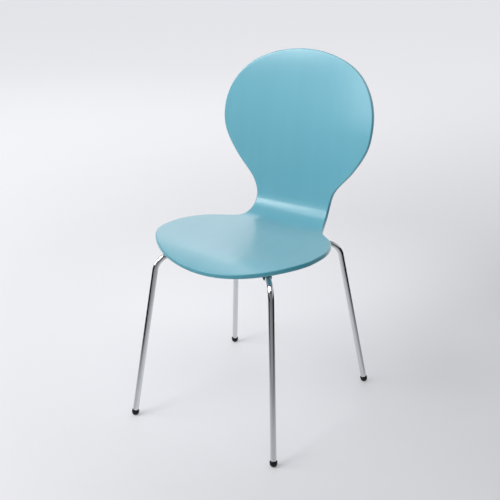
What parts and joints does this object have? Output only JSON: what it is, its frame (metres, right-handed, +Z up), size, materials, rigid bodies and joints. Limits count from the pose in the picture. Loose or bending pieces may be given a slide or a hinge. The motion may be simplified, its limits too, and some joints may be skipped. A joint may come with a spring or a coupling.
{
  "type": "stacking chair",
  "caption": "Stacking chair: a waisted moulded plywood shell bent into seat and back, on splayed bent steel tube legs that meet at a hub under the seat.",
  "frame": {"origin": "on the floor, under the middle of the chair's bounding box", "axes": "+Z up; the sitter faces -Y; +X is the sitter's left"},
  "size_m": [0.4316, 0.5057, 0.8569],
  "materials": {
    "lacquered_shell": "satin turquoise lacquer over veneer, the grain running lengthwise and just showing",
    "chrome_tube": "bright chrome plate",
    "glide_plastic": "glossy black moulded plastic, scuffed underneath",
    "buffer_rubber": "matt black rubber",
    "plate_paint": "black powder coat",
    "zinc_steel": "zinc plated",
    "insert_brass": "turned brass",
    "cover_plastic": "fine textured black moulding"
  },
  "bodies": {
    "root": {"seat_shell": "lacquered_shell", "leg_tube_front_left": "chrome_tube", "leg_tube_front_right": "chrome_tube", "leg_tube_rear_left": "chrome_tube", "leg_tube_rear_right": "chrome_tube", "glide_front_left": "glide_plastic", "glide_front_right": "glide_plastic", "glide_rear_left": "glide_plastic", "glide_rear_right": "glide_plastic", "glide_disc_front_left": "zinc_steel", "glide_disc_front_right": "zinc_steel", "glide_disc_rear_left": "zinc_steel", "glide_disc_rear_right": "zinc_steel", "seat_buffer_front_left": "buffer_rubber", "seat_buffer_front_right": "buffer_rubber", "seat_buffer_rear_left": "buffer_rubber", "seat_buffer_rear_right": "buffer_rubber", "hub_pad": "buffer_rubber", "mounting_plate": "plate_paint", "shell_screw_left": "zinc_steel", "screw_washer_left": "zinc_steel", "threaded_insert_left": "insert_brass", "shell_screw_right": "zinc_steel", "screw_washer_right": "zinc_steel", "threaded_insert_right": "insert_brass", "shell_screw_front": "zinc_steel", "screw_washer_front": "zinc_steel", "threaded_insert_front": "insert_brass", "shell_screw_rear": "zinc_steel", "screw_washer_rear": "zinc_steel", "threaded_insert_rear": "insert_brass", "hub_cover": "cover_plastic", "cover_screw": "zinc_steel"}
  },
  "joints": []
}
